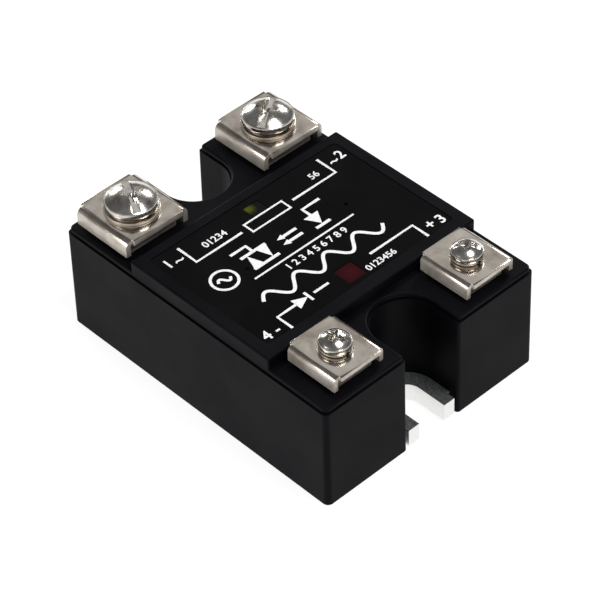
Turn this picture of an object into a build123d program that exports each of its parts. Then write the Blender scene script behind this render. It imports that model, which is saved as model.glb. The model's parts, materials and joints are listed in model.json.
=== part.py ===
from build123d import *
import math
import os

os.makedirs("parts", exist_ok=True)

# Panel-mount solid state relay with four screw-clamp terminals.
# Millimetres, +Z up. The origin is at the centre of the mounting face, under the base plate.
# +X points to the input end (terminals 3 and 4), +Y from terminal 1 to terminal 2.

# Case
body_length = 58.8
body_width = 45.0
shelf_height = 19.9         # terminal shelves above the mounting face
block_height = 22.0         # raised block that carries the label
load_shelf = 15.4           # length of the shelf at the load end
input_shelf = 12.5          # length of the shelf at the input end
case_wall = 1.8
shelf_deck = 2.0
block_deck = 1.7            # plastic left under the label recess
corner_radius = 1.0
wall_draft = 0.5            # degrees
lip_height = 1.1            # upper lip above the parting groove
lip_inset = 0.25
groove_height = 0.3
groove_depth = 0.35
edge_round = 0.35

# Mounting notches at both ends
mount_pitch = 47.6
notch_radius = 5.5
notch_wall = 1.4
notch_corner = 0.6

# Base plate
plate_thickness = 3.5
plate_gap = 0.15            # around the plate, inside the case
plate_tab_width = 10.0      # width of the plate where it shows in a notch
plate_end_gap = 0.2         # plate end behind the case end
plate_corner = 1.2
plate_edge_break = 0.3
mount_hole_diameter = 5.2
mount_slot_width = 5.5

# Label and its windows
label_rim_load = 1.9        # rim beside the label, towards the load end
label_rim_input = 2.4
label_rim_side = 2.2
label_recess = 0.3
label_thickness = 0.2
label_gap = 0.1
label_corner = 0.8
label_dot = 0.7             # two small locating holes in the label
label_dot_spacing = 21.2
load_window_size = 3.2
input_window_size = 3.7
load_window_x = -9.15
input_window_x = 11.7
window_gap = 0.05
window_flange = 0.7         # flange beyond the window on each side
window_flange_thickness = 0.5
window_drop = 0.1           # window face below the label face

# Terminals: the load pair at -X, the input pair at +X
load = dict(
    end_distance=7.4, side_distance=7.9,
    block=(9.6, 9.5), neck=(7.4, 7.4), lift=2.6,
    strip=0.8, strip_width=5.0, strip_end=4.0,
    clamp_length=12.8, clamp_width=12.8, sheet=1.0, clamp_height=3.0, bend=1.35, relief=0.7,
    washer=(9.0, 0.4), lock=(7.6, 0.5),
    thread=4.0, pitch=0.7, screw_length=12.0,
    head=(8.7, 2.7), head_side=1.0, slot=(1.4, 1.5), cross=(4.6, 2.1))
input_ = dict(
    end_distance=6.6, side_distance=8.5,
    block=(8.0, 7.0), neck=(6.0, 5.6), lift=2.5,
    strip=0.6, strip_width=5.0, strip_end=3.0,
    clamp_length=10.9, clamp_width=10.1, sheet=0.8, clamp_height=2.7, bend=1.0, relief=0.6,
    washer=None, lock=(5.0, 0.5),
    thread=3.0, pitch=0.5, screw_length=10.0,
    head=(5.2, 2.1), head_side=0.9, slot=(0.8, 0.9), cross=(3.0, 1.5))
thread_clearance = 0.05     # radial, screw in its threaded block
screw_clearance = 0.3       # radial, screw in clamp, washers and strips
neck_clearance = 0.05       # terminal neck in the shelf
lock_split = 0.6

# Power circuit on the base plate
ceramic_length = 28.0
ceramic_thickness = 0.63
ceramic_side_gap = 2.7      # from the ceramic to the case wall
pad_thickness = 0.3
pad_border = 1.0            # bare ceramic around the copper pads
pad_split = 1.6             # bare ceramic between the two copper pads
chip_size = (8.0, 8.0, 0.4)
chip_offset = (5.0, 7.8)    # from the centre, to opposite corners
clip_width = 3.6
clip_thickness = 0.4
clip_rise = 1.3
clip_foot = 2.0
strip_foot_gap = 0.4        # from the end of a load strip to a chip
gate_pin = 0.8

# Control board and its parts
board_bottom = 10.5
board_thickness = 1.6
board_side_gap = 2.2        # from the board to the case wall
board_load_gap = 4.9        # from the board to the notch wall, at the load end
board_input_gap = 0.7
board_corner = 1.0
input_foot_inset = 2.0      # input strips end this far in on the board
hole_clearance = 0.1        # radial, lead in board
opto_at = (3.0, 0.0)
opto_body = (8.6, 6.4, 3.4)
opto_standoff = 0.6
opto_pitch = 2.54
opto_row = 7.62
opto_lead = (0.5, 0.3)
capacitor_at = (-3.5, 13.0)
capacitor_body = (10.0, 4.5, 7.0)
capacitor_pitch = 7.5
snubber_at = (-4.0, -13.0)
snubber_body = (9.0, 3.6)   # length, diameter
snubber_pitch = 12.5
resistor_body = (6.0, 2.3)
resistor_pitch = 10.0
resistor_x = 8.0
resistor_rows = (6.8, 10.8, 14.8)
diode_at = (9.0, -14.0)
diode_body = (4.6, 2.6)
diode_pitch = 8.0
transistor_at = (11.0, -8.0)
transistor_body = (4.6, 4.6)
transistor_flat = 1.2
transistor_standoff = 2.0
transistor_pitch = 1.27
led_body = (3.0, 4.9)       # diameter, height
led_flange = (3.8, 0.9)
led_gap = 0.3               # LED dome below its window
led_pitch = 2.54
lead_diameter = 0.5

# Worked-out places
load_end = -body_length / 2
input_end = body_length / 2
block_x0 = load_end + load_shelf
block_x1 = input_end - input_shelf
groove_z = shelf_height - lip_height
draft_inset = groove_z * math.tan(math.radians(wall_draft))
label_x0 = block_x0 + label_rim_load
label_x1 = block_x1 - label_rim_input
label_floor = block_height - label_recess
deck_under = shelf_height - shelf_deck
block_under = label_floor - block_deck
ceramic_z = plate_thickness
ceramic_size = (ceramic_length, body_width - 2 * (case_wall + ceramic_side_gap), ceramic_thickness)
pad_size = (ceramic_length - 2 * pad_border, (ceramic_size[1] - pad_split) / 2 - pad_border, pad_thickness)
strip_foot_end = chip_offset[0] + chip_size[0] / 2 + strip_foot_gap
notch_wall_x = mount_pitch / 2 - notch_radius - notch_wall
board_x = (board_load_gap - notch_wall_x, notch_wall_x - board_input_gap)
board_width = body_width - 2 * (case_wall + board_side_gap)
input_foot_end = board_x[1] - input_foot_inset
pad_z = ceramic_z + ceramic_size[2]
chip_z = pad_z + pad_size[2]
pad_top = chip_z
board_top = board_bottom + board_thickness
load["x"] = load_end + load["end_distance"]
input_["x"] = input_end - input_["end_distance"]


def slab(x0, x1, y0, y1, z0, z1):
    return Pos((x0 + x1) / 2, (y0 + y1) / 2, (z0 + z1) / 2) * Box(x1 - x0, y1 - y0, z1 - z0)


def rod(x, y, z0, z1, diameter):
    return Pos(x, y, (z0 + z1) / 2) * Cylinder(diameter / 2, z1 - z0)


def at(place, part):
    return Pos(place[0], place[1], 0) * part


def terminal_places(kind):
    y = body_width / 2 - kind["side_distance"]
    return [(kind["x"], -y), (kind["x"], y)]


def notch_plan(side, radius):
    # round-bottomed notch, open to the end of the case
    centre = side * mount_pitch / 2
    run = body_length / 2
    return Pos(centre, 0) * Circle(radius) + Pos(centre + side * run / 2, 0) * Rectangle(run, 2 * radius)


def case_plan(inset):
    plan = RectangleRounded(body_length - 2 * inset, body_width - 2 * inset, corner_radius)
    for side in (-1, 1):
        plan -= notch_plan(side, notch_radius + inset)
    end = body_length / 2 - inset
    mouth = [v for v in plan.vertices()
             if abs(abs(v.X) - end) < 0.01 and abs(v.Y) < 2 * notch_radius]
    return fillet(mouth, notch_corner)


def cavity_plan():
    plan = Rectangle(body_length - 2 * case_wall, body_width - 2 * case_wall)
    for side in (-1, 1):
        plan -= notch_plan(side, notch_radius + notch_wall)
    return plan


def window_plans():
    yield Pos(load_window_x, 0) * Rectangle(load_window_size, load_window_size)
    yield Pos(input_window_x, 0) * Rectangle(input_window_size, input_window_size)


def housing():
    lower = extrude(case_plan(0), groove_z, taper=wall_draft)
    inset = draft_inset + lip_inset
    neck = Pos(0, 0, groove_z) * extrude(case_plan(inset + groove_depth), groove_height)
    lip_z = groove_z + groove_height
    lip = Pos(0, 0, lip_z) * extrude(case_plan(inset), shelf_height - lip_z)
    lip = fillet(lip.edges().group_by(Axis.Z)[-1], edge_round)
    half_width = body_width / 2 - inset
    block = slab(block_x0, block_x1, -half_width, half_width, lip_z, block_height)
    block = fillet(block.edges().filter_by(Axis.Z), edge_round)
    block = fillet(block.edges().group_by(Axis.Z)[-1], edge_round)
    body = lower + neck + lip + block

    # inside: room for the plate, the electronics and the raised block
    body -= slab(load_end + case_wall, input_end - case_wall,
                 -body_width / 2 + case_wall, body_width / 2 - case_wall, 0, plate_thickness)
    body -= Pos(0, 0, plate_thickness) * extrude(cavity_plan(), deck_under - plate_thickness)
    body -= slab(block_x0 + case_wall, block_x1 - case_wall,
                 -body_width / 2 + case_wall, body_width / 2 - case_wall, deck_under, block_under)

    # label recess, windows and terminal pockets
    body -= Pos(0, 0, label_floor) * label_plan(0, label_recess)
    for plan in window_plans():
        body -= Pos(0, 0, block_under) * extrude(plan, block_deck)
    for kind in (load, input_):
        for x, y in terminal_places(kind):
            a = kind["neck"][0] / 2 + neck_clearance
            b = kind["neck"][1] / 2 + neck_clearance
            body -= slab(x - a, x + a, y - b, y + b, deck_under, shelf_height)
    return body


def label_plan(gap, height):
    length = label_x1 - label_x0 - 2 * gap
    width = body_width - 2 * (draft_inset + lip_inset + label_rim_side) - 2 * gap
    plan = RectangleRounded(length, width, label_corner - gap)
    return Pos((label_x0 + label_x1) / 2, 0, 0) * extrude(plan, height)


def label():
    sheet = label_plan(label_gap, label_thickness)
    for plan in window_plans():
        sheet -= extrude(plan, label_thickness)
    for side in (-1, 1):
        sheet -= rod(0, side * label_dot_spacing / 2, 0, label_thickness, label_dot)
    return Pos(0, 0, label_floor) * sheet


def window(x, size):
    # light-pipe plug pushed up into the block from inside
    top = label_floor + label_thickness - window_drop
    plug = size / 2 - window_gap
    flange = size / 2 + window_flange
    part = slab(-plug, plug, -plug, plug, block_under, top)
    part += slab(-flange, flange, -flange, flange, block_under - window_flange_thickness, block_under)
    return at((x, 0), part)


def base_plate():
    length = body_length - 2 * case_wall - 2 * plate_gap
    width = body_width - 2 * case_wall - 2 * plate_gap
    tab_length = body_length - 2 * plate_end_gap
    plan = RectangleRounded(length, width, plate_corner) + Rectangle(tab_length, plate_tab_width)
    plan -= Pos(-mount_pitch / 2, 0) * Circle(mount_hole_diameter / 2)
    plan -= Pos(mount_pitch / 2, 0) * Circle(mount_slot_width / 2)
    plan -= Pos(mount_pitch / 2 + body_length / 4, 0) * Rectangle(body_length / 2, mount_slot_width)
    plate = extrude(plan, plate_thickness)
    outer = plate.edges().group_by(Axis.Z)[0]
    return chamfer(outer, plate_edge_break)


def terminal_block(kind):
    # threaded block: shoulder on the shelf, neck through it
    a, b = kind["block"]
    c, d = kind["neck"]
    part = slab(-a / 2, a / 2, -b / 2, b / 2, shelf_height, shelf_height + kind["lift"])
    part += slab(-c / 2, c / 2, -d / 2, d / 2, deck_under, shelf_height)
    bore = kind["thread"] + 2 * thread_clearance
    return part - rod(0, 0, deck_under, shelf_height + kind["lift"], bore)


def terminal_strip(kind, inward, foot_z, foot_end):
    # bent strip from under the block down to the circuit; inward is the way to the centre
    t = kind["strip"]
    half = kind["strip_width"] / 2
    leg = kind["block"][0] / 2 + t
    tail = kind["strip_end"]
    foot = abs(kind["x"]) - foot_end
    outline = [(-tail, deck_under), (leg, deck_under), (leg, foot_z + t), (foot, foot_z + t),
               (foot, foot_z), (leg - t, foot_z), (leg - t, deck_under - t), (-tail, deck_under - t)]
    face = make_face(Polyline([(inward * u, z) for u, z in outline], close=True))
    part = Pos(0, half, 0) * extrude(Plane.XZ * face, 2 * half)
    hole = kind["thread"] + 2 * screw_clearance
    return part - rod(0, 0, deck_under - t, deck_under, hole)


def clamp_plate(kind):
    # saddle bent from sheet: flat top, two skirts, corners relieved beside the bends
    a = kind["clamp_length"] / 2
    b = kind["clamp_width"] / 2
    t = kind["sheet"]
    r = kind["bend"]
    top = shelf_height + kind["lift"] + t
    low = top - kind["clamp_height"]
    outer = slab(-a, a, -b, b, low, top)
    upper = [e for e in outer.edges().group_by(Axis.Z)[-1] if abs(e.center().X) < 0.01]
    outer = fillet(upper, r)
    inner = slab(-a, a, t - b, b - t, low, top - t)
    upper = [e for e in inner.edges().group_by(Axis.Z)[-1] if abs(e.center().X) < 0.01]
    inner = fillet(upper, r - t)
    part = outer - inner
    c = kind["relief"]
    for sx in (-1, 1):
        for sy in (-1, 1):
            part -= Pos(sx * (a - c / 2), sy * (b - r / 2), top - r) * Box(c, r, 6 * r)
    return part - rod(0, 0, top - t, top, kind["thread"] + 2 * screw_clearance)


def washer_z(kind):
    return shelf_height + kind["lift"] + kind["sheet"]


def lock_z(kind):
    return washer_z(kind) + (kind["washer"][1] if kind["washer"] else 0)


def head_z(kind):
    return lock_z(kind) + kind["lock"][1]


def ring(kind, size, z):
    bore = kind["thread"] + 2 * screw_clearance
    return rod(0, 0, z, z + size[1], size[0]) - rod(0, 0, z, z + size[1], bore)


def lock_washer(kind):
    part = ring(kind, kind["lock"], lock_z(kind))
    radius = kind["lock"][0] / 2
    thickness = kind["lock"][1]
    cut = Rot(35, 0, 0) * Box(2 * radius, lock_split, 4 * thickness)
    return part - Pos(radius, 0, lock_z(kind) + thickness / 2) * cut


def screw(kind, turn):
    # pan head with a slot and a cross recess over a plain-diameter threaded shank
    radius = kind["head"][0] / 2
    height = kind["head"][1]
    side = kind["head_side"]
    crown = height - side
    ball = (radius ** 2 + crown ** 2) / (2 * crown)
    halfway = radius * 0.6
    on_ball = height - ball + math.sqrt(ball ** 2 - halfway ** 2)
    profile = Polyline((0, 0), (radius, 0), (radius, side))
    dome = ThreePointArc((radius, side), (halfway, on_ball), (0, height))
    face = make_face(profile + dome + Line((0, height), (0, 0)))
    head = revolve(Plane.XZ * face, Axis.Z)
    shoulder = [e for e in head.edges() if e.is_closed and abs(e.center().Z - side) < 0.01]
    head = Pos(0, 0, head_z(kind)) * fillet(shoulder, side * 0.5)
    top = head_z(kind) + height
    slot_width, slot_depth = kind["slot"]
    cross_length, cross_depth = kind["cross"]
    head -= Pos(0, 0, top) * Box(3 * radius, slot_width, 2 * slot_depth)
    head -= Pos(0, 0, top) * Box(slot_width, cross_length, 2 * cross_depth)
    head -= Pos(0, 0, top) * Box(cross_length, slot_width, 2 * cross_depth)
    tip = head_z(kind) - kind["screw_length"]
    shank = rod(0, 0, tip, head_z(kind), kind["thread"])
    shank = chamfer(shank.edges().group_by(Axis.Z)[0], kind["pitch"] * 0.7)
    return Rot(0, 0, turn) * (head + shank)


def pads():
    length, width, thickness = pad_size
    gap = pad_split / 2
    lower = slab(-length / 2, length / 2, -gap - width, -gap, pad_z, pad_z + thickness)
    return [lower, Rot(0, 0, 180) * lower]


def chip():
    x, y = chip_offset
    a, b, t = chip_size
    return slab(x - a / 2, x + a / 2, -y - b / 2, -y + b / 2, chip_z, chip_z + t)


def cathode_clip():
    # strap from the top of one chip over to the other copper pad
    t = clip_thickness
    on_chip = chip_z + chip_size[2]
    bridge = on_chip + clip_rise
    y = chip_offset[1]
    y0 = -y - clip_foot
    y1 = -y + clip_foot
    y2 = pad_split / 2 + clip_foot
    outline = [(y0, on_chip), (y1 + t, on_chip), (y1 + t, bridge), (y2, bridge),
               (y2, pad_top), (y2 + clip_foot, pad_top), (y2 + clip_foot, pad_top + t),
               (y2 + t, pad_top + t), (y2 + t, bridge + t), (y1, bridge + t),
               (y1, on_chip + t), (y0, on_chip + t)]
    face = make_face(Polyline(outline, close=True))
    strap = extrude(Plane.YZ * face, clip_width)
    return Pos(chip_offset[0], 0, 0) * strap


def gate_pins():
    # one pin from each chip up through the board
    x = chip_offset[0] - chip_size[0] / 2 + 1.5 * gate_pin
    y = -chip_offset[1]
    pin = rod(x, y, chip_z + chip_size[2], board_top + gate_pin, gate_pin)
    return [pin, Rot(0, 0, 180) * pin]


def potting_resin(embedded):
    fill = Pos(0, 0, plate_thickness) * extrude(cavity_plan(), board_bottom - plate_thickness)
    for part in embedded:
        fill -= part
    return fill


def axial_leads(place, pitch):
    return [(place[0] - pitch / 2, place[1]), (place[0] + pitch / 2, place[1])]


def axial(place, body, pitch):
    # body lying on the board, with its wire bent down at both ends
    length, diameter = body
    z = board_top + diameter / 2
    part = Pos(place[0], place[1], z) * Rot(0, 90, 0) * Cylinder(diameter / 2, length)
    part = fillet(part.edges(), diameter * 0.2)
    part += Pos(place[0], place[1], z) * Rot(0, 90, 0) * Cylinder(lead_diameter / 2, pitch)
    for x, y in axial_leads(place, pitch):
        part += rod(x, y, board_bottom, z, lead_diameter)
        part += Pos(x, y, z) * Sphere(lead_diameter / 2)
    return part


def opto_leads():
    return [(opto_at[0] + i * opto_pitch, opto_at[1] + side * opto_row / 2)
            for i in (-1, 0, 1) for side in (-1, 1)]


def optocoupler():
    a, b, c = opto_body
    x, y = opto_at
    z0 = board_top + opto_standoff
    body = slab(x - a / 2, x + a / 2, y - b / 2, y + b / 2, z0, z0 + c)
    body = chamfer(body.edges().group_by(Axis.Z)[-1], 0.4)
    body -= rod(x - a / 2 + 1.2, y - b / 2 + 1.4, z0 + c - 0.2, z0 + c, 1.0)
    width, thick = opto_lead
    knee = z0 + c / 2
    for lx, ly in opto_leads():
        side = 1 if ly > y else -1
        inner = y + side * (b / 2 - 0.3)
        outer = ly + side * thick / 2
        body += slab(lx - width / 2, lx + width / 2, min(inner, outer), max(inner, outer),
                     knee - thick, knee)
        body += slab(lx - width / 2, lx + width / 2, ly - thick / 2, ly + thick / 2,
                     board_bottom, knee)
    return body


def snubber_capacitor():
    a, b, c = capacitor_body
    x, y = capacitor_at
    body = slab(x - a / 2, x + a / 2, y - b / 2, y + b / 2, board_top, board_top + c)
    body = fillet(body.edges(), 0.4)
    for lx, ly in axial_leads(capacitor_at, capacitor_pitch):
        body += rod(lx, ly, board_bottom, board_top + 1, lead_diameter)
    return body


def transistor_leads():
    return [(transistor_at[0] + i * transistor_pitch, transistor_at[1]) for i in (-1, 0, 1)]


def transistor():
    diameter, height = transistor_body
    z0 = board_top + transistor_standoff
    x, y = transistor_at
    body = rod(x, y, z0, z0 + height, diameter)
    body -= slab(x - diameter, x + diameter, y - diameter, y - transistor_flat, z0, z0 + height)
    for lx, ly in transistor_leads():
        body += rod(lx, ly, board_bottom, z0 + 1, lead_diameter)
    return body


def led_leads(x):
    return [(x, -led_pitch / 2), (x, led_pitch / 2)]


def led(x):
    diameter, height = led_body
    rim, rim_height = led_flange
    top = block_under - window_flange_thickness - led_gap
    z0 = top - height
    body = rod(x, 0, z0, top, diameter)
    body = fillet(body.edges().group_by(Axis.Z)[-1], diameter * 0.46)
    body += rod(x, 0, z0, z0 + rim_height, rim)
    for lx, ly in led_leads(x):
        body += rod(lx, ly, board_bottom, z0 + 0.5, lead_diameter)
    return body


def circuit_board():
    x0, x1 = board_x
    plan = RectangleRounded(x1 - x0, board_width, board_corner)
    board = Pos((x0 + x1) / 2, 0, board_bottom) * extrude(plan, board_thickness)
    places = opto_leads() + transistor_leads() + led_leads(load_window_x) + led_leads(input_window_x)
    places += axial_leads(capacitor_at, capacitor_pitch) + axial_leads(snubber_at, snubber_pitch)
    places += axial_leads(diode_at, diode_pitch)
    for row in resistor_rows:
        places += axial_leads((resistor_x, row), resistor_pitch)
    bore = max(lead_diameter, math.hypot(*opto_lead)) + 2 * hole_clearance
    for x, y in places:
        board -= rod(x, y, board_bottom, board_top, bore)
    for pin in gate_pins():
        centre = pin.center()
        board -= rod(centre.X, centre.Y, board_bottom, board_top, gate_pin + 2 * hole_clearance)
    return board


def save(name, part):
    solids = part if isinstance(part, list) else [part]
    shapes = [s for item in solids for s in item.solids()]
    node = shapes[0] if len(shapes) == 1 else Compound(children=shapes)
    node.label = name
    export_step(node, "parts/" + name + ".step")


def main():
    save("housing", housing())
    save("base_plate", base_plate())
    save("label", label())
    save("load_window", window(load_window_x, load_window_size))
    save("input_window", window(input_window_x, input_window_size))

    ceramic = Pos(0, 0, ceramic_z + ceramic_size[2] / 2) * Box(*ceramic_size)
    clip = cathode_clip()
    save("ceramic_substrate", ceramic)
    save("copper_pads", pads())
    save("thyristor_chip_1", chip())
    save("thyristor_chip_2", Rot(0, 0, 180) * chip())
    save("cathode_clip_1", clip)
    save("cathode_clip_2", Rot(0, 0, 180) * clip)
    save("gate_pins", gate_pins())
    embedded = [ceramic, chip(), Rot(0, 0, 180) * chip(), clip, Rot(0, 0, 180) * clip]
    embedded += pads() + gate_pins()

    for i, place in enumerate(terminal_places(load)):
        strip = at(place, terminal_strip(load, 1, pad_top, strip_foot_end))
        embedded.append(strip)
        save("load_busbar_%d" % (i + 1), strip)
    for i, place in enumerate(terminal_places(input_)):
        strip = at(place, terminal_strip(input_, -1, board_top, input_foot_end))
        save("input_lead_%d" % (4 - i), strip)
    save("potting_resin", potting_resin(embedded))

    save("circuit_board", circuit_board())
    save("optocoupler", optocoupler())
    save("snubber_capacitor", snubber_capacitor())
    save("snubber_resistor", axial(snubber_at, snubber_body, snubber_pitch))
    save("small_resistors", [axial((resistor_x, row), resistor_body, resistor_pitch)
                             for row in resistor_rows])
    save("input_diode", axial(diode_at, diode_body, diode_pitch))
    save("transistor", transistor())
    save("load_led", led(load_window_x))
    save("input_led", led(input_window_x))

    # terminals 1 and 2 at the load end, 4 and 3 at the input end
    rows = [(1, load, 0, -26), (2, load, 1, -60), (4, input_, 0, 12), (3, input_, 1, 40)]
    for number, kind, index, turn in rows:
        place = terminal_places(kind)[index]
        prefix = "load" if kind is load else "input"
        save("%s_terminal_%d" % (prefix, number), at(place, terminal_block(kind)))
        save("%s_clamp_%d" % (prefix, number), at(place, clamp_plate(kind)))
        if kind["washer"]:
            washer = ring(kind, kind["washer"], washer_z(kind))
            save("flat_washer_%d" % number, at(place, washer))
        save("lock_washer_%d" % number, at(place, Rot(0, 0, 50 * number) * lock_washer(kind)))
        save("%s_screw_%d" % (prefix, number), at(place, screw(kind, turn)))


main()
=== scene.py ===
import bmesh
import bpy
import json
import math
from mathutils import Matrix, Vector


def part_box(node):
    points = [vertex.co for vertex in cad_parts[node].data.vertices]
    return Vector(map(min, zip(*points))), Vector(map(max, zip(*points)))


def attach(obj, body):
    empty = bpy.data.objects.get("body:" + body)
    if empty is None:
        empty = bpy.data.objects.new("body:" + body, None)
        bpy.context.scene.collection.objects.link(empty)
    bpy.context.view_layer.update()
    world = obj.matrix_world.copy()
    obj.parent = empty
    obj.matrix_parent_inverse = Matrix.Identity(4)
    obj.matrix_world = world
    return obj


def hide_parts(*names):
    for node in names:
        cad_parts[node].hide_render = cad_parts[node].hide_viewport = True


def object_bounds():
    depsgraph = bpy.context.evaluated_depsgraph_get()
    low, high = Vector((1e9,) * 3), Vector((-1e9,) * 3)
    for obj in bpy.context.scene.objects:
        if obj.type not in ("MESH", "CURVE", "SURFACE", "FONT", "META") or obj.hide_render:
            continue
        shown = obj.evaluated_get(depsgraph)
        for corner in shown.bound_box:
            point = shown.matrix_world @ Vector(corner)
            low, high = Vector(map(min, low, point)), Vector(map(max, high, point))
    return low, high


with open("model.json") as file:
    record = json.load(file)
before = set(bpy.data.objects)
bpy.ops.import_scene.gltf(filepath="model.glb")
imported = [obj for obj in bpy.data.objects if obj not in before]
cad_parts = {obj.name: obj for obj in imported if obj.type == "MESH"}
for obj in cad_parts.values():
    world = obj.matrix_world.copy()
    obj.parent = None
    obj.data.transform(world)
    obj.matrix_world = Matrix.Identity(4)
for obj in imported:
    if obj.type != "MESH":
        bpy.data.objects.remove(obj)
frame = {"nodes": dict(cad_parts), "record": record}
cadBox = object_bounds()
mm = 0.001


def srgb(hexColour):
    values = []
    for i in (0, 2, 4):
        c = int(hexColour[i:i + 2], 16) / 255
        values.append(c / 12.92 if c <= 0.04045 else ((c + 0.055) / 1.055) ** 2.4)
    return (*values, 1.0)


def node(tree, kind, settings=None, **links):
    # adds a shader node: settings are its properties or socket values, links are sockets to join
    made = tree.nodes.new(kind)
    for key, value in (settings or {}).items():
        if hasattr(made, key) and key not in made.inputs:
            setattr(made, key, value)
        else:
            made.inputs[key].default_value = value
    for key, source in links.items():
        tree.links.new(source, made.inputs[key.replace("_", " ")])
    return made


def newMaterial(name, settings):
    material = bpy.data.materials.new(name)
    material.use_nodes = True
    tree = material.node_tree
    shader = tree.nodes["Principled BSDF"]
    for key, value in settings.items():
        shader.inputs[key].default_value = value
    return material, tree, shader


def ramp(tree, source, stops):
    made = node(tree, "ShaderNodeValToRGB", None, Fac=source)
    ends = made.color_ramp.elements
    ends[0].position, ends[0].color = stops[0]
    ends[1].position, ends[1].color = stops[-1]
    for place, colour in stops[1:-1]:
        ends.new(place).color = colour
    return made.outputs["Color"]


def grey(value):
    return (value, value, value, 1)


plasticLook = {
    "colour": "060609", "dusty": "0f0f13", "roughness": (0.40, 0.55), "gloss": 0.05,
    "grainSize": 0.22, "grainDepth": 0.012, "bump": 0.35, "cloudSize": 9.0,
}


def caseMaterial():
    # glass-filled polyamide, injection moulded: deep black, satin, with a fine spark-eroded grain
    look = plasticLook
    material, tree, shader = newMaterial("polyamideMoulded", {"Specular IOR Level": look["gloss"]})
    place = node(tree, "ShaderNodeTexCoord").outputs["Object"]
    grain = node(tree, "ShaderNodeTexNoise", {"Scale": 1 / (look["grainSize"] * mm), "Detail": 3.0},
                 Vector=place).outputs["Fac"]
    cloud = node(tree, "ShaderNodeTexNoise", {"Scale": 1 / (look["cloudSize"] * mm), "Detail": 5.0},
                 Vector=place).outputs["Fac"]
    colour = ramp(tree, cloud, [(0.35, srgb(look["colour"])), (0.8, srgb(look["dusty"]))])
    tree.links.new(colour, shader.inputs["Base Color"])
    low, high = look["roughness"]
    rough = node(tree, "ShaderNodeMapRange", {"From Min": 0.3, "From Max": 0.7, "To Min": low,
                 "To Max": high}, Value=cloud).outputs["Result"]
    tree.links.new(rough, shader.inputs["Roughness"])
    bump = node(tree, "ShaderNodeBump", {"Strength": look["bump"], "Distance": look["grainDepth"] * mm},
                Height=grain)
    tree.links.new(bump.outputs["Normal"], shader.inputs["Normal"])
    return material


labelLook = {
    "colour": "040405", "smearAndSheen": "0a0a0c", "roughness": (0.16, 0.26), "gloss": 0.05, "smearAndSheenSize": 12.0,
}


def labelMaterial():
    # polyester film, reverse printed: smooth black gloss with faint handling smears, whose lighter bluish
    # tint is partly a painted sheen
    look = labelLook
    material, tree, shader = newMaterial("polyesterPrinted", {"Specular IOR Level": look["gloss"]})
    place = node(tree, "ShaderNodeTexCoord").outputs["Object"]
    smearAndSheen = node(tree, "ShaderNodeTexNoise", {"Scale": 1 / (look["smearAndSheenSize"] * mm), "Detail": 6.0,
                 "Distortion": 0.6}, Vector=place).outputs["Fac"]
    # lighter, bluish patches: real handling smears, their tint partly a painted sheen
    colour = ramp(tree, smearAndSheen, [(0.4, srgb(look["colour"])), (0.75, srgb(look["smearAndSheen"]))])
    tree.links.new(colour, shader.inputs["Base Color"])
    low, high = look["roughness"]
    rough = node(tree, "ShaderNodeMapRange", {"From Min": 0.3, "From Max": 0.75, "To Min": low,
                 "To Max": high}, Value=smearAndSheen).outputs["Result"]
    tree.links.new(rough, shader.inputs["Roughness"])
    return material


def inkMaterial():
    # screen-printed white ink: matt, slightly uneven coverage
    material, tree, shader = newMaterial("inkScreenPrinted", {"Specular IOR Level": 0.3})
    place = node(tree, "ShaderNodeTexCoord").outputs["Object"]
    cover = node(tree, "ShaderNodeTexNoise", {"Scale": 1 / (0.5 * mm), "Detail": 4.0},
                 Vector=place).outputs["Fac"]
    colour = ramp(tree, cover, [(0.25, srgb("dcdcdc")), (0.6, srgb("f6f6f6"))])
    tree.links.new(colour, shader.inputs["Base Color"])
    rough = ramp(tree, cover, [(0.2, grey(0.7)), (0.8, grey(0.45))])
    tree.links.new(rough, shader.inputs["Roughness"])
    return material


def platedMaterial(name, look):
    # nickel plate over stamped or turned metal: warm grey, fine handling marks, cloudy stain
    material, tree, shader = newMaterial(name, {"Metallic": 1.0})
    coords = node(tree, "ShaderNodeTexCoord")
    place = coords.outputs["Object"]
    stain = node(tree, "ShaderNodeTexNoise", {"Scale": 1 / (look["stainSize"] * mm), "Detail": 6.0,
                 "Distortion": 0.4}, Vector=place).outputs["Fac"]
    colour = ramp(tree, stain, [(0.3, srgb(look["dark"])), (0.52, srgb(look["colour"])),
                  (0.8, srgb(look["light"]))])
    stretched = node(tree, "ShaderNodeMapping", {"Scale": look["grain"]}, Vector=place).outputs["Vector"]
    scratch = node(tree, "ShaderNodeTexNoise", {"Scale": 1 / (look["scratchSize"] * mm), "Detail": 4.0,
                   "Roughness": 0.65}, Vector=stretched).outputs["Fac"]
    tree.links.new(colour, shader.inputs["Base Color"])
    low, high = look["roughness"]
    rough = node(tree, "ShaderNodeMapRange", {"From Min": 0.35, "From Max": 0.7, "To Min": low,
                 "To Max": high}, Value=scratch).outputs["Result"]
    if "formed" in look:
        # skirts and bends are drawn through the die, which leaves them matt and paler
        upward = node(tree, "ShaderNodeSeparateXYZ", None, Vector=coords.outputs["Normal"]).outputs["Z"]
        flat = node(tree, "ShaderNodeMapRange", {"From Min": 0.25, "From Max": 0.85},
                    Value=upward).outputs["Result"]
        metallic = node(tree, "ShaderNodeMapRange", {"To Min": look["formed"]["metallic"], "To Max": 1.0},
                        Value=flat).outputs["Result"]
        tree.links.new(metallic, shader.inputs["Metallic"])
        added = node(tree, "ShaderNodeMapRange", {"To Min": look["formed"]["roughness"], "To Max": 0.0},
                     Value=flat).outputs["Result"]
        total = node(tree, "ShaderNodeMath", {"operation": "ADD"})
        tree.links.new(rough, total.inputs[0])
        tree.links.new(added, total.inputs[1])
        rough = total.outputs["Value"]
    tree.links.new(rough, shader.inputs["Roughness"])
    bump = node(tree, "ShaderNodeBump", {"Strength": look["bump"], "Distance": 0.01 * mm}, Height=scratch)
    tree.links.new(bump.outputs["Normal"], shader.inputs["Normal"])
    return material


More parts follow.
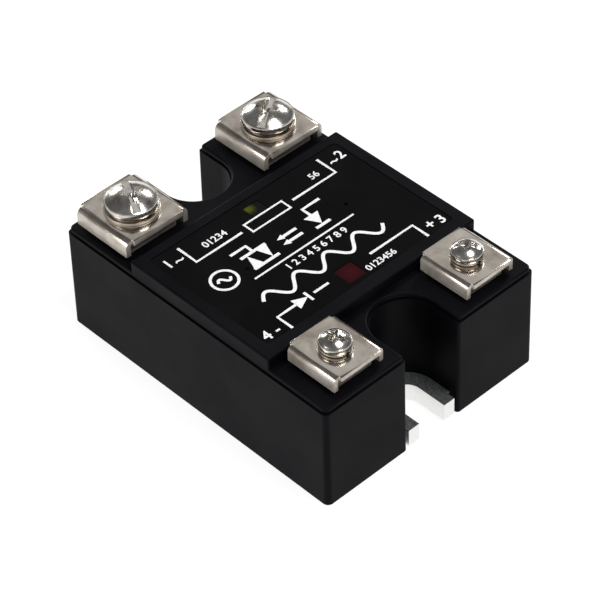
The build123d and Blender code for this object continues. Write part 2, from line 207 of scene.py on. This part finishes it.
clampLook = {
    "colour": "c6bdb2", "dark": "9c9287", "light": "ded8cf", "stainSize": 4.0,
    "scratchSize": 0.12, "grain": (0.12, 1.0, 1.0), "roughness": (0.12, 0.24), "bump": 0.08,
    "formed": {"metallic": 0.45, "roughness": 0.24},
}
screwLook = {
    "colour": "d4d0c9", "dark": "a8a198", "light": "eceae6", "stainSize": 1.6,
    "scratchSize": 0.15, "grain": (1.0, 1.0, 1.0), "roughness": (0.14, 0.26), "bump": 0.15,
}


plateLook = {
    "pit": "55585a", "face": "9a9c9d", "glint": "cfd1d1", "wall": "f4f4f2",
    "speckleSize": 0.28, "roughness": (0.38, 0.6),
}


def plateMaterial():
    # blanked aluminium sheet: grey speckled rolled faces; the sheared upright walls are painted near white
    # by face direction, a painted highlight
    look = plateLook
    material, tree, shader = newMaterial("aluminiumBlanked", {"Metallic": 1.0})
    coords = node(tree, "ShaderNodeTexCoord")
    place = coords.outputs["Object"]
    speckle = node(tree, "ShaderNodeTexNoise", {"Scale": 1 / (look["speckleSize"] * mm), "Detail": 5.0,
                   "Roughness": 0.7}, Vector=place).outputs["Fac"]
    faceColour = ramp(tree, speckle, [(0.35, srgb(look["pit"])), (0.5, srgb(look["face"])),
                      (0.7, srgb(look["glint"]))])
    # upright faces are found by their normal and painted near white: a painted highlight, not the metal's
    # own colour
    upward = node(tree, "ShaderNodeSeparateXYZ", None, Vector=coords.outputs["Normal"]).outputs["Z"]
    flat = node(tree, "ShaderNodeMath", {"operation": "ABSOLUTE"}, Value=upward).outputs["Value"]
    side = ramp(tree, flat, [(0.3, grey(1.0)), (0.8, grey(0.0))])
    colour = node(tree, "ShaderNodeMix", {"data_type": "RGBA"})
    tree.links.new(side, colour.inputs["Factor"])
    tree.links.new(faceColour, colour.inputs["A"])
    colour.inputs["B"].default_value = srgb(look["wall"])
    tree.links.new(colour.outputs["Result"], shader.inputs["Base Color"])
    low, high = look["roughness"]
    rough = node(tree, "ShaderNodeMapRange", {"From Min": 0.3, "From Max": 0.7, "To Min": high,
                 "To Max": low}, Value=speckle).outputs["Result"]
    tree.links.new(rough, shader.inputs["Roughness"])
    bump = node(tree, "ShaderNodeBump", {"Strength": 0.6, "Distance": 0.02 * mm}, Height=speckle)
    tree.links.new(bump.outputs["Normal"], shader.inputs["Normal"])
    return material


# each window's glow is painted light: an emitted patch on the window, which is no lamp
windowLook = {
    "roughness": 0.12, "gloss": 0.08, "cloudSize": 0.8, "uneven": (0.5, 1.3),
    "load": {"dark": "080806", "glow": "4c5006", "glowPlace": (-10.2, -1.0, 21.8), "glowSize": 1.7,
             "strength": 0.12},
    "input": {"dark": "1c0002", "glow": "34020a", "glowPlace": (11.7, 0, 21.8), "glowSize": 3.0,
              "strength": 0.15},
}


def windowMaterial(name, look):
    # tinted clear acrylic, moulded: glossy and dark, with a painted glow, emitted by the window itself over
    # one side, standing in for the lamp's body glimmering behind it
    material, tree, shader = newMaterial(name, {"Roughness": windowLook["roughness"],
                                       "Specular IOR Level": windowLook["gloss"]})
    place = node(tree, "ShaderNodeTexCoord").outputs["Object"]
    centred = [-value * mm for value in look["glowPlace"]]
    offset = node(tree, "ShaderNodeMapping", {"Location": centred}, Vector=place).outputs["Vector"]
    away = node(tree, "ShaderNodeVectorMath", {"operation": "LENGTH"}, Vector=offset).outputs["Value"]
    cloud = node(tree, "ShaderNodeTexNoise", {"Scale": 1 / (windowLook["cloudSize"] * mm), "Detail": 3.0},
                 Vector=place).outputs["Fac"]
    fall = node(tree, "ShaderNodeMapRange", {"From Min": 0.0, "From Max": look["glowSize"] * mm,
                "To Min": 1.0, "To Max": 0.0, "interpolation_type": "SMOOTHSTEP"},
                Value=away).outputs["Result"]
    low, high = windowLook["uneven"]
    uneven = node(tree, "ShaderNodeMapRange", {"To Min": low, "To Max": high},
                  Value=cloud).outputs["Result"]
    product = node(tree, "ShaderNodeMath", {"operation": "MULTIPLY"})
    tree.links.new(fall, product.inputs[0])
    tree.links.new(uneven, product.inputs[1])
    stops = [(0.0, srgb(look["dark"])), (1.0, srgb(look["glow"]))]
    colour = ramp(tree, product.outputs["Value"], stops)
    tree.links.new(colour, shader.inputs["Base Color"])
    # the window emits its painted glow
    shader.inputs["Emission Strength"].default_value = look["strength"]
    tree.links.new(colour, shader.inputs["Emission Color"])
    return material


def insideMaterial(name, base, light, size, roughness, metallic=0.0):
    # plain inner parts: a mottled surface at the part's own scale
    material, tree, shader = newMaterial(name, {"Metallic": metallic})
    place = node(tree, "ShaderNodeTexCoord").outputs["Object"]
    mottle = node(tree, "ShaderNodeTexNoise", {"Scale": 1 / (size * mm), "Detail": 4.0},
                  Vector=place).outputs["Fac"]
    colour = ramp(tree, mottle, [(0.3, srgb(base)), (0.75, srgb(light))])
    tree.links.new(colour, shader.inputs["Base Color"])
    rough = node(tree, "ShaderNodeMapRange", {"To Min": roughness - 0.1, "To Max": roughness + 0.1},
                 Value=mottle).outputs["Result"]
    tree.links.new(rough, shader.inputs["Roughness"])
    bump = node(tree, "ShaderNodeBump", {"Strength": 0.3, "Distance": 0.01 * mm}, Height=mottle)
    tree.links.new(bump.outputs["Normal"], shader.inputs["Normal"])
    return material


finishes = {
    "case_plastic": caseMaterial(),
    "label_film": labelMaterial(),
    "plate_aluminium": plateMaterial(),
    "nickel_steel": platedMaterial("nickelPlateStamped", clampLook),
    "nickel_brass": platedMaterial("nickelPlateMilled", clampLook),
    "screw_steel": platedMaterial("nickelPlateBright", screwLook),
    "load_window_plastic": windowMaterial("acrylicSmoke", windowLook["load"]),
    "input_window_plastic": windowMaterial("acrylicRed", windowLook["input"]),
    "alumina": insideMaterial("aluminaFired", "e8e6e0", "f3f2ee", 0.5, 0.6),
    "copper": insideMaterial("copperRolled", "b5704a", "d59a75", 1.5, 0.35, 1.0),
    "silicon": insideMaterial("siliconPolished", "3c3c44", "55555f", 2.0, 0.2, 1.0),
    "tinned_wire": insideMaterial("wireTinned", "b9b9b6", "d6d6d3", 0.6, 0.35, 1.0),
    "epoxy_resin": insideMaterial("epoxyCast", "0e0e10", "1a1a1d", 6.0, 0.35),
    "board_laminate": insideMaterial("laminateMasked", "0f4a26", "17613a", 1.2, 0.4),
    "black_epoxy": insideMaterial("epoxyMoulded", "121214", "202023", 0.4, 0.55),
    "capacitor_case": insideMaterial("polyesterDipped", "b38f12", "d1ac2a", 1.0, 0.35),
    "resistor_coat": insideMaterial("enamelDipped", "9c7a4c", "b8976a", 0.5, 0.4),
    "led_yellow": insideMaterial("epoxyYellow", "7d8410", "a3ab1c", 1.0, 0.2),
    "led_red": insideMaterial("epoxyRed", "7a0d10", "a01a1c", 1.0, 0.2),
}
for entry in frame["record"]["subparts"]:
    cadNode = frame["nodes"][entry["node"]]
    cadNode.data.materials.clear()
    cadNode.data.materials.append(finishes[entry["material_slot"]])
print("materials on", len(frame["nodes"]), "frame nodes")


def addPiece(name, mesh, material, body="case"):
    piece = bpy.data.objects.new(name, mesh)
    bpy.context.scene.collection.objects.link(piece)
    piece.data.materials.append(material)
    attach(piece, body)
    return piece


def toMesh(bm, name):
    bmesh.ops.remove_doubles(bm, verts=bm.verts, dist=0.001 * mm)
    bmesh.ops.recalc_face_normals(bm, faces=bm.faces)
    mesh = bpy.data.meshes.new(name)
    bm.to_mesh(mesh)
    bm.free()
    return mesh


def holderOf(mesh):
    holder = bpy.data.objects.new("holder", mesh)
    bpy.context.scene.collection.objects.link(holder)
    return holder


def evaluated(holder):
    bpy.context.view_layer.update()
    mesh = bpy.data.meshes.new_from_object(holder.evaluated_get(bpy.context.evaluated_depsgraph_get()))
    bpy.data.objects.remove(holder)
    return mesh


def carve(mesh, cutters, edgeRound, smoothAngle=40):
    # cuts each cutter out of the mesh, then rounds the sharp edges that are left
    holder = holderOf(mesh)
    tools = [holderOf(cutter) for cutter in cutters]
    for tool in tools:
        cut = holder.modifiers.new("cut", "BOOLEAN")
        cut.object = tool
        cut.operation = "DIFFERENCE"
        cut.solver = "EXACT"
    made = evaluated(holder)
    for tool in tools:
        bpy.data.objects.remove(tool)
    holder = holderOf(made)
    rounding = holder.modifiers.new("rounding", "BEVEL")
    rounding.width = edgeRound * mm
    rounding.segments = 2
    rounding.limit_method = "ANGLE"
    rounding.angle_limit = math.radians(smoothAngle)
    rounding.use_clamp_overlap = True
    made = evaluated(holder)
    made.shade_smooth()
    made.set_sharp_from_angle(angle=math.radians(smoothAngle))
    return made


def boxMesh(low, high, taper=1.0):
    # block between two corners in millimetres; taper narrows its lower face
    bm = bmesh.new()
    bmesh.ops.create_cube(bm, size=1)
    bmesh.ops.scale(bm, vec=[(b - a) * mm for a, b in zip(low, high)], verts=bm.verts)
    lower = [v for v in bm.verts if v.co.z < 0]
    bmesh.ops.scale(bm, vec=(taper, taper, 1), verts=lower)
    bmesh.ops.translate(bm, vec=[(a + b) / 2 * mm for a, b in zip(low, high)], verts=bm.verts)
    return toMesh(bm, "cutter")


def spun(outline, steps=72):
    # solid of revolution about Z from an outline of (radius, height) in millimetres
    bm = bmesh.new()
    verts = [bm.verts.new((r * mm, 0, z * mm)) for r, z in outline]
    edges = [bm.edges.new(pair) for pair in zip(verts, verts[1:])]
    bmesh.ops.spin(bm, geom=verts + edges, cent=(0, 0, 0), axis=(0, 0, 1), angle=2 * math.pi,
                   steps=steps, use_merge=True, use_duplicate=False)
    return toMesh(bm, "spun")


def helix(outline, turns, rise, steps=28):
    # closed outline of (radius, height) swept up a right-hand helix
    bm = bmesh.new()
    verts = [bm.verts.new((r * mm, 0, z * mm)) for r, z in outline]
    face = bm.faces.new(verts)
    count = max(1, round(turns * steps))
    bmesh.ops.spin(bm, geom=[face] + list(face.edges) + verts, cent=(0, 0, 0), axis=(0, 0, 1),
                   dvec=(0, 0, rise * turns / count * mm), angle=2 * math.pi * turns, steps=count,
                   use_merge=False, use_duplicate=False)
    return toMesh(bm, "helix")


def joined(parts):
    bm = bmesh.new()
    for part in parts:
        bm.from_mesh(part)
    mesh = bpy.data.meshes.new("joined")
    bm.to_mesh(mesh)
    bm.free()
    mesh.shade_smooth()
    mesh.set_sharp_from_angle(angle=math.radians(40))
    return mesh


def axisOf(cadName):
    low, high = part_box(cadName)
    return (low.x + high.x) / 2, (low.y + high.y) / 2


terminalLook = {
    "load": {
        "screw": {"radius": 4.35, "side": 1.0, "foot": 0.12, "crownInset": 0.245, "slot": 1.4,
                  "slotDepth": 1.5, "cross": 4.9, "crossWidth": 1.4, "crossDepth": 2.1,
                  "thread": 2.0, "pitch": 0.7, "threadDepth": 0.4, "edgeRound": 0.07,
                  "recessTaper": 0.35, "tip": (0.3, 0.5), "neck": 0.5},
        "clamp": {"sheet": 1.0, "bend": 1.35, "relief": 0.55, "hole": 2.3, "edgeRound": 0.12},
        "lock": {"inner": 2.3, "outer": 3.8, "turns": 0.97, "rise": 0.06, "round": 0.1,
                 "lean": 0.05, "gapTurn": 12},
        "flat": {"inner": 2.3, "round": 0.08},
    },
    "input": {
        "screw": {"radius": 2.6, "side": 0.9, "foot": 0.1, "crownInset": 0.14, "slot": 0.85,
                  "slotDepth": 0.75, "cross": 3.6, "crossWidth": 1.1, "crossDepth": 1.5,
                  "thread": 1.5, "pitch": 0.5, "threadDepth": 0.3, "edgeRound": 0.06,
                  "recessTaper": 0.35, "tip": (0.3, 0.5), "neck": 0.5},
        "clamp": {"sheet": 0.8, "bend": 1.0, "relief": 0.5, "hole": 1.8, "edgeRound": 0.1},
        "lock": {"inner": 1.8, "outer": 2.5, "turns": 0.96, "rise": 0.06, "round": 0.08,
                 "lean": 0.05, "gapTurn": 12},
    },
}
slotTurn = {1: -26, 2: -60, 3: 40, 4: 12}


def headOutline(look, height):
    # pan head: square foot, upright side, narrow rim, domed crown
    radius, side = look["radius"], look["side"]
    crown = height - side
    inner = radius - look["crownInset"]
    ball = (inner ** 2 + crown ** 2) / (2 * crown)
    rimDrop, rimInset = 0.15, 0.04
    outline = [(0, 0), (radius - look["foot"], 0), (radius, look["foot"]), (radius, side - rimDrop),
               (radius - rimInset, side)]
    steps = 14
    for i in range(steps + 1):
        r = inner * (1 - i / steps)
        outline.append((r, height - ball + math.sqrt(ball ** 2 - r ** 2)))
    return outline


def makeScrew(kind, n):
    name = kind + "_screw_" + str(n)
    look = terminalLook[kind]["screw"]
    low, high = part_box(name)
    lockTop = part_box("lock_washer_" + str(n))[1].z
    height = (high.z - lockTop) / mm
    length = (lockTop - low.z) / mm
    head = spun(headOutline(look, height))
    reach, half = look["radius"] + 1, look["slot"] / 2
    slot = boxMesh((-reach, -half, height - look["slotDepth"]), (reach, half, height + 1))
    arm, width = look["cross"] / 2, look["crossWidth"] / 2
    deep = height - look["crossDepth"]
    wings = []
    for a, b in ((arm, width), (width, arm)):
        wings.append(boxMesh((-a, -b, deep), (a, b, height + 0.6), taper=look["recessTaper"]))
    head = carve(head, [slot] + wings, look["edgeRound"])
    root = look["thread"] - look["threadDepth"]
    tipWidth, tipDepth = look["tip"]
    sunk = 0.05  # how far the core runs up into the head
    core = spun([(0, -length), (root - tipWidth, -length), (root, tipDepth - length), (root, sunk),
                 (0, sunk)], 32)
    turns = (length - tipDepth - look["neck"]) / look["pitch"]
    foot = root - 0.1  # the ridge starts a little inside the core
    ridge = [(foot, 0), (look["thread"], 0.42 * look["pitch"]),
             (look["thread"], 0.52 * look["pitch"]), (foot, 0.94 * look["pitch"])]
    thread = helix(ridge, turns, look["pitch"])
    thread.transform(Matrix.Translation((0, 0, (tipDepth - length) * mm)))
    mesh = joined([head, core, thread])
    x, y = axisOf(name)
    mesh.transform(Matrix.Translation((x, y, lockTop)) @ Matrix.Rotation(math.radians(slotTurn[n]), 4, "Z"))
    piece = addPiece("screw" + str(n), mesh, finishes["screw_steel"], "screw_" + str(n))
    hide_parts(name)


def makeClamp(kind, n):
    # saddle clamp folded from sheet: flat top, rolled bends, two skirts, corner reliefs
    name = kind + "_clamp_" + str(n)
    look = terminalLook[kind]["clamp"]
    low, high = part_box(name)
    halfX, halfY = (high.x - low.x) / 2, (high.y - low.y) / 2
    bend, relief = look["bend"] * mm, look["relief"] * mm
    bm = bmesh.new()
    bmesh.ops.create_grid(bm, x_segments=1, y_segments=1, size=1)
    bmesh.ops.scale(bm, vec=(halfX, halfY - bend, 1), verts=bm.verts)
    for side in (-1, 1):
        geom = list(bm.verts) + list(bm.edges) + list(bm.faces)
        bmesh.ops.bisect_plane(bm, geom=geom, plane_co=(side * (halfX - relief), 0, 0), plane_no=(1, 0, 0))
    for side in (-1, 1):
        def onRim(edge):
            middle = (edge.verts[0].co + edge.verts[1].co) / 2
            return abs(middle.x) < halfX / 2 and side * middle.y > halfY - bend * 1.01
        rim = [edge for edge in bm.edges if onRim(edge)]
        out = bmesh.ops.spin(bm, geom=rim + list({v for e in rim for v in e.verts}),
                             cent=(0, side * (halfY - bend), -bend), axis=(-side, 0, 0), angle=math.pi / 2,
                             steps=10, use_merge=False, use_duplicate=False)
        last = [g for g in out["geom_last"] if isinstance(g, bmesh.types.BMEdge)]
        down = bmesh.ops.extrude_edge_only(bm, edges=last)
        moved = [g for g in down["geom"] if isinstance(g, bmesh.types.BMVert)]
        bmesh.ops.translate(bm, vec=(0, 0, low.z - high.z + bend), verts=moved)
    holder = holderOf(toMesh(bm, "clamp"))
    if holder.data.polygons[0].normal.z < 0:
        holder.data.flip_normals()
    thick = holder.modifiers.new("sheet", "SOLIDIFY")
    thick.thickness = look["sheet"] * mm
    thick.offset = -1
    hole = spun([(0, -3), (look["hole"], -3), (look["hole"], 3), (0, 3)], 40)
    mesh = carve(evaluated(holder), [hole], look["edgeRound"])
    x, y = axisOf(name)
    mesh.transform(Matrix.Translation((x, y, high.z)))
    body = "clamp_" + str(n)
    piece = addPiece("clamp" + str(n), mesh, finishes["nickel_steel"], body)
    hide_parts(name)


def makeLockWasher(kind, n):
    # split spring washer, flattened but for a little lead at its ends
    name = "lock_washer_" + str(n)
    look = terminalLook[kind]["lock"]
    low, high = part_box(name)
    height = (high.z - low.z) / mm - look["rise"]
    lean = look["lean"]
    section = [(look["inner"], 0), (look["outer"], lean), (look["outer"], height - lean),
               (look["inner"], height)]
    ring = helix(section, look["turns"], look["rise"] / look["turns"], steps=64)
    mesh = carve(ring, [], look["round"])
    x, y = axisOf(name)
    turn = Matrix.Rotation(math.radians(look["gapTurn"]), 4, "Z")
    mesh.transform(Matrix.Translation((x, y, low.z)) @ turn)
    body = "clamp_" + str(n)
    piece = addPiece("lockWasher" + str(n), mesh, finishes["nickel_steel"], body)
    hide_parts(name)


def makeFlatWasher(n):
    name = "flat_washer_" + str(n)
    look = terminalLook["load"]["flat"]
    low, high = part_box(name)
    outer, height = (high.x - low.x) / 2 / mm, (high.z - low.z) / mm
    inner = look["inner"]
    ring = spun([(inner, 0), (outer, 0), (outer, height), (inner, height), (inner, 0)])
    mesh = carve(ring, [], look["round"])
    x, y = axisOf(name)
    mesh.transform(Matrix.Translation((x, y, low.z)))
    body = "clamp_" + str(n)
    piece = addPiece("flatWasher" + str(n), mesh, finishes["nickel_steel"], body)
    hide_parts(name)


for n in (1, 2, 3, 4):
    kind = "load" if n < 3 else "input"
    makeClamp(kind, n)
    makeLockWasher(kind, n)
    makeScrew(kind, n)
    if kind == "load":
        makeFlatWasher(n)
print("terminals")


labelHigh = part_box("label")[1]
ink = inkMaterial()
printLook = {
    "stroke": 0.5, "heavy": 0.6, "wave": 0.62, "rule": 0.36, "thickness": 0.02, "bold": 0.05,
    "digit": 2.8, "small": 1.9, "tiny": 1.75,
}


def onLabel(points):
    # label print is laid out as it is read: right runs along +Y, up runs along -X
    return [(-up, right) for right, up in points]


def inkPiece(name, mesh):
    mesh.transform(Matrix.Translation((0, 0, labelHigh.z)))
    addPiece("print" + name, mesh, ink)


def curveMesh(lines, width, filled=False):
    # strokes with round ends, or filled shapes, pressed to a film of ink
    curve = bpy.data.curves.new("ink", "CURVE")
    curve.dimensions = "2D" if filled else "3D"
    if filled:
        curve.fill_mode = "BOTH"
        curve.extrude = printLook["thickness"] * mm
    else:
        curve.bevel_depth = width * mm / 2
        curve.bevel_resolution = 3
        curve.use_fill_caps = True
    for line, closed in lines:
        spline = curve.splines.new("POLY")
        spline.points.add(len(line) - 1)
        for point, (x, y) in zip(spline.points, line):
            point.co = (x * mm, y * mm, 0, 1)
        spline.use_cyclic_u = closed
    holder = bpy.data.objects.new("ink", curve)
    bpy.context.scene.collection.objects.link(holder)
    mesh = evaluated(holder)
    if not filled:
        mesh.transform(Matrix.Diagonal((1, 1, 2 * printLook["thickness"] / width, 1)))
    return mesh


def textMesh(text, size, right, up):
    font = bpy.data.curves.new("text", "FONT")
    font.body = text
    font.size = size * mm
    font.offset = printLook["bold"] * mm * size / printLook["digit"]
    font.extrude = printLook["thickness"] * mm
    font.align_x = "CENTER"
    font.align_y = "CENTER"
    holder = bpy.data.objects.new("text", font)
    bpy.context.scene.collection.objects.link(holder)
    mesh = evaluated(holder)
    turn = Matrix.Rotation(math.radians(90), 4, "Z")
    mesh.transform(Matrix.Translation((-up * mm, right * mm, 0)) @ turn)
    return mesh


def wave(start, end, up, height, cycles):
    steps = 24 * cycles
    return [(start + (end - start) * i / steps, up + height * math.sin(2 * math.pi * cycles * i / steps))
            for i in range(steps + 1)]


def circle(right, up, radius, steps=36):
    angles = [2 * math.pi * i / steps for i in range(steps)]
    return [(right + radius * math.cos(angle), up + radius * math.sin(angle)) for angle in angles]


labelShapes = {
    # one bracket from each terminal number towards the middle of the label
    "Brackets": {"width": printLook["stroke"], "open": [
        [(-14.9, 11.1), (-14.9, 6.7), (-5.4, 6.7)], [(14.9, 11.1), (14.9, 6.7), (5.4, 6.7)],
        [(-14.7, -14.6), (-14.7, -11.1), (-12.0, -11.1)], [(-7.1, -11.1), (-4.0, -11.1)],
        [(14.3, -14.6), (14.3, -10.9), (5.0, -10.9)]]},
    # resistor where the load goes, and the bar and lead of the diode at the control input
    "LoadSymbol": {"width": printLook["stroke"],
                   "closed": [[(-4.0, 5.6), (4.0, 5.6), (4.0, 7.8), (-4.0, 7.8)]],
                   "open": [[(-8.2, -10.0), (-8.2, -12.2)], [(-12.0, -11.1), (-10.9, -11.1)]]},
    "ControlSymbol": {"filled": [[(-10.9, -9.9), (-10.9, -12.3), (-8.4, -11.1)]]},
    # a lamp on the right, two arrows, and the two-way switch that it lights on the left
    "SchematicFills": {"filled": [
        [(-9.7, -0.7), (-7.7, -0.7), (-8.7, 2.1)], [(-6.7, 2.1), (-4.7, 2.1), (-5.7, -0.7)],
        [(3.4, 2.1), (6.4, 2.1), (4.9, -0.5)],
        [(-2.9, 1.5), (-1.6, 2.1), (-1.6, 0.9)], [(-2.9, 0.0), (-1.6, 0.6), (-1.6, -0.6)]]},
    "SchematicLines": {"width": printLook["heavy"], "open": [
        [(-9.8, -0.9), (-4.6, -0.9)], [(-9.8, 2.3), (-4.6, 2.3)], [(3.4, -0.8), (6.4, -0.8)],
        [(-7.2, 2.3), (-7.2, 4.0), (-10.4, 4.0)], [(4.9, 2.1), (4.9, 4.0), (8.6, 4.0)],
        [(-1.7, 1.5), (1.2, 1.5)], [(-1.7, 0.0), (1.2, 0.0)]]},
    "Rule": {"width": printLook["rule"], "open": [[(-11.3, -2.5), (9.8, -2.5)]]},
    "Source": {"width": printLook["stroke"], "closed": [circle(-14.7, 0.6, 2.2)],
               "open": [wave(-15.9, -13.5, 0.6, 0.6, 1)]},
    "Wave": {"width": printLook["wave"], "open": [wave(-13.8, 11.4, -7.2, 1.45, 4)]},
}
labelText = {
    "Digit1": ("1", "digit", -18.4, 9.3), "Digit2": ("2", "digit", 18.4, 9.3),
    "Digit3": ("3", "digit", 18.5, -13.0), "Digit4": ("4", "digit", -18.6, -13.0),
    "WaveA": ("~", "digit", -16.5, 8.9), "WaveB": ("~", "digit", 16.6, 8.9),
    "Plus": ("+", "digit", 16.4, -12.8), "Minus": ("-", "digit", -16.6, -13.0),
    "Scale": ("1 2 3 4 5 6 7 8 9", "small", 0.2, -4.2), "RowA": ("01234", "small", -9.4, 8.6),
    "RowB": ("56", "small", 11.9, 8.6), "RowC": ("0123456", "tiny", 5.3, -13.1),
}
for name, shape in labelShapes.items():
    closed = [(onLabel(line), True) for line in shape.get("filled", shape.get("closed", []))]
    opened = [(onLabel(line), False) for line in shape.get("open", [])]
    inkPiece(name, curveMesh(closed + opened, shape.get("width", 0), "filled" in shape))
for name, (text, size, right, up) in labelText.items():
    inkPiece(name, textMesh(text, printLook[size], right, up))
print("label print")


stageLook = {"size": 40.0, "floor": "e6e6e4", "world": 0.14, "ownLight": 0.86, "shadowShare": 0.22}


def floorMaterial():
    # pale paper sweep: white to the eye and in reflections, still holding the soft shadow
    material = bpy.data.materials.new("paperSweep")
    material.use_nodes = True
    tree = material.node_tree
    tree.nodes.clear()
    out = node(tree, "ShaderNodeOutputMaterial")
    rays = node(tree, "ShaderNodeLightPath")
    either = node(tree, "ShaderNodeMath", {"operation": "MAXIMUM"})
    tree.links.new(rays.outputs["Is Camera Ray"], either.inputs[0])
    tree.links.new(rays.outputs["Is Glossy Ray"], either.inputs[1])
    anyRay = node(tree, "ShaderNodeMath", {"operation": "MAXIMUM"})
    tree.links.new(either.outputs["Value"], anyRay.inputs[0])
    tree.links.new(rays.outputs["Is Transmission Ray"], anyRay.inputs[1])
    paper = node(tree, "ShaderNodeBsdfDiffuse", {"Color": srgb(stageLook["floor"])})
    faint = node(tree, "ShaderNodeBsdfDiffuse", {"Color": grey(stageLook["shadowShare"])})
    glow = node(tree, "ShaderNodeEmission", {"Strength": stageLook["ownLight"]})
    both = node(tree, "ShaderNodeAddShader")
    tree.links.new(faint.outputs["BSDF"], both.inputs[0])
    tree.links.new(glow.outputs["Emission"], both.inputs[1])
    mixed = node(tree, "ShaderNodeMixShader")
    tree.links.new(anyRay.outputs["Value"], mixed.inputs[0])
    tree.links.new(paper.outputs["BSDF"], mixed.inputs[1])
    tree.links.new(both.outputs["Shader"], mixed.inputs[2])
    tree.links.new(mixed.outputs["Shader"], out.inputs["Surface"])
    return material


def makeStage():
    bm = bmesh.new()
    bmesh.ops.create_grid(bm, x_segments=1, y_segments=1, size=stageLook["size"] / 2)
    mesh = bpy.data.meshes.new("floor")
    bm.to_mesh(mesh)
    bm.free()
    floor = bpy.data.objects.new("floor", mesh)
    bpy.context.scene.collection.objects.link(floor)
    floor.data.materials.append(floorMaterial())
    world = bpy.data.worlds.new("studio")
    world.use_nodes = True
    world.node_tree.nodes["Background"].inputs["Color"].default_value = grey(1.0)
    world.node_tree.nodes["Background"].inputs["Strength"].default_value = stageLook["world"]
    bpy.context.scene.world = world


middle = (cadBox[0] + cadBox[1]) / 2
softboxes = {
    "skyLight": {"place": (-0.46, 0.42, 0.58), "size": 0.55, "power": 0.46},
    "keyLight": {"place": (0.36, 0.06, 0.76), "size": 0.35, "power": 4.6},
    "leftLight": {"place": (-0.75, 0.18, 0.21), "size": 0.20, "power": 2.0},
    "backLight": {"place": (-0.19, 0.66, 0.41), "size": 0.20, "power": 2.0},
    "frontLight": {"place": (-0.15, -0.75, 0.30), "size": 0.40, "power": 3.0},
}


def makeLights():
    for name, look in softboxes.items():
        lamp = bpy.data.lights.new(name, "AREA")
        lamp.shape = "SQUARE"
        lamp.size = look["size"]
        lamp.energy = look["power"]
        holder = bpy.data.objects.new(name, lamp)
        bpy.context.scene.collection.objects.link(holder)
        holder.location = Vector(look["place"])
        aim = middle - holder.location
        holder.rotation_euler = aim.to_track_quat("-Z", "Y").to_euler()


cameraLook = {
    "azimuth": 47.6, "elevation": 42.83, "roll": -2.03, "distance": 434.9,
    "focus": (0.64, -0.45, 9.16), "lens": 165.6, "sensor": 36.0,
}


def makeCamera():
    look = cameraLook
    a, e, roll = (math.radians(look[key]) for key in ("azimuth", "elevation", "roll"))
    back = Vector((math.sin(a) * math.cos(e), -math.cos(a) * math.cos(e), math.sin(e)))
    right = Vector((math.cos(a), math.sin(a), 0))
    up = back.cross(right)
    side = math.cos(roll) * right + math.sin(roll) * up
    top = -math.sin(roll) * right + math.cos(roll) * up
    data = bpy.data.cameras.new("camera")
    data.lens = look["lens"]
    data.sensor_width = look["sensor"]
    camera = bpy.data.objects.new("camera", data)
    bpy.context.scene.collection.objects.link(camera)
    place = (Vector(look["focus"]) + look["distance"] * back) * mm
    camera.matrix_world = Matrix.Translation(place) @ Matrix((side, top, back)).transposed().to_4x4()
    bpy.context.scene.camera = camera


makeStage()
makeLights()
makeCamera()
bpy.context.scene.view_settings.view_transform = "Standard"
print("stage")
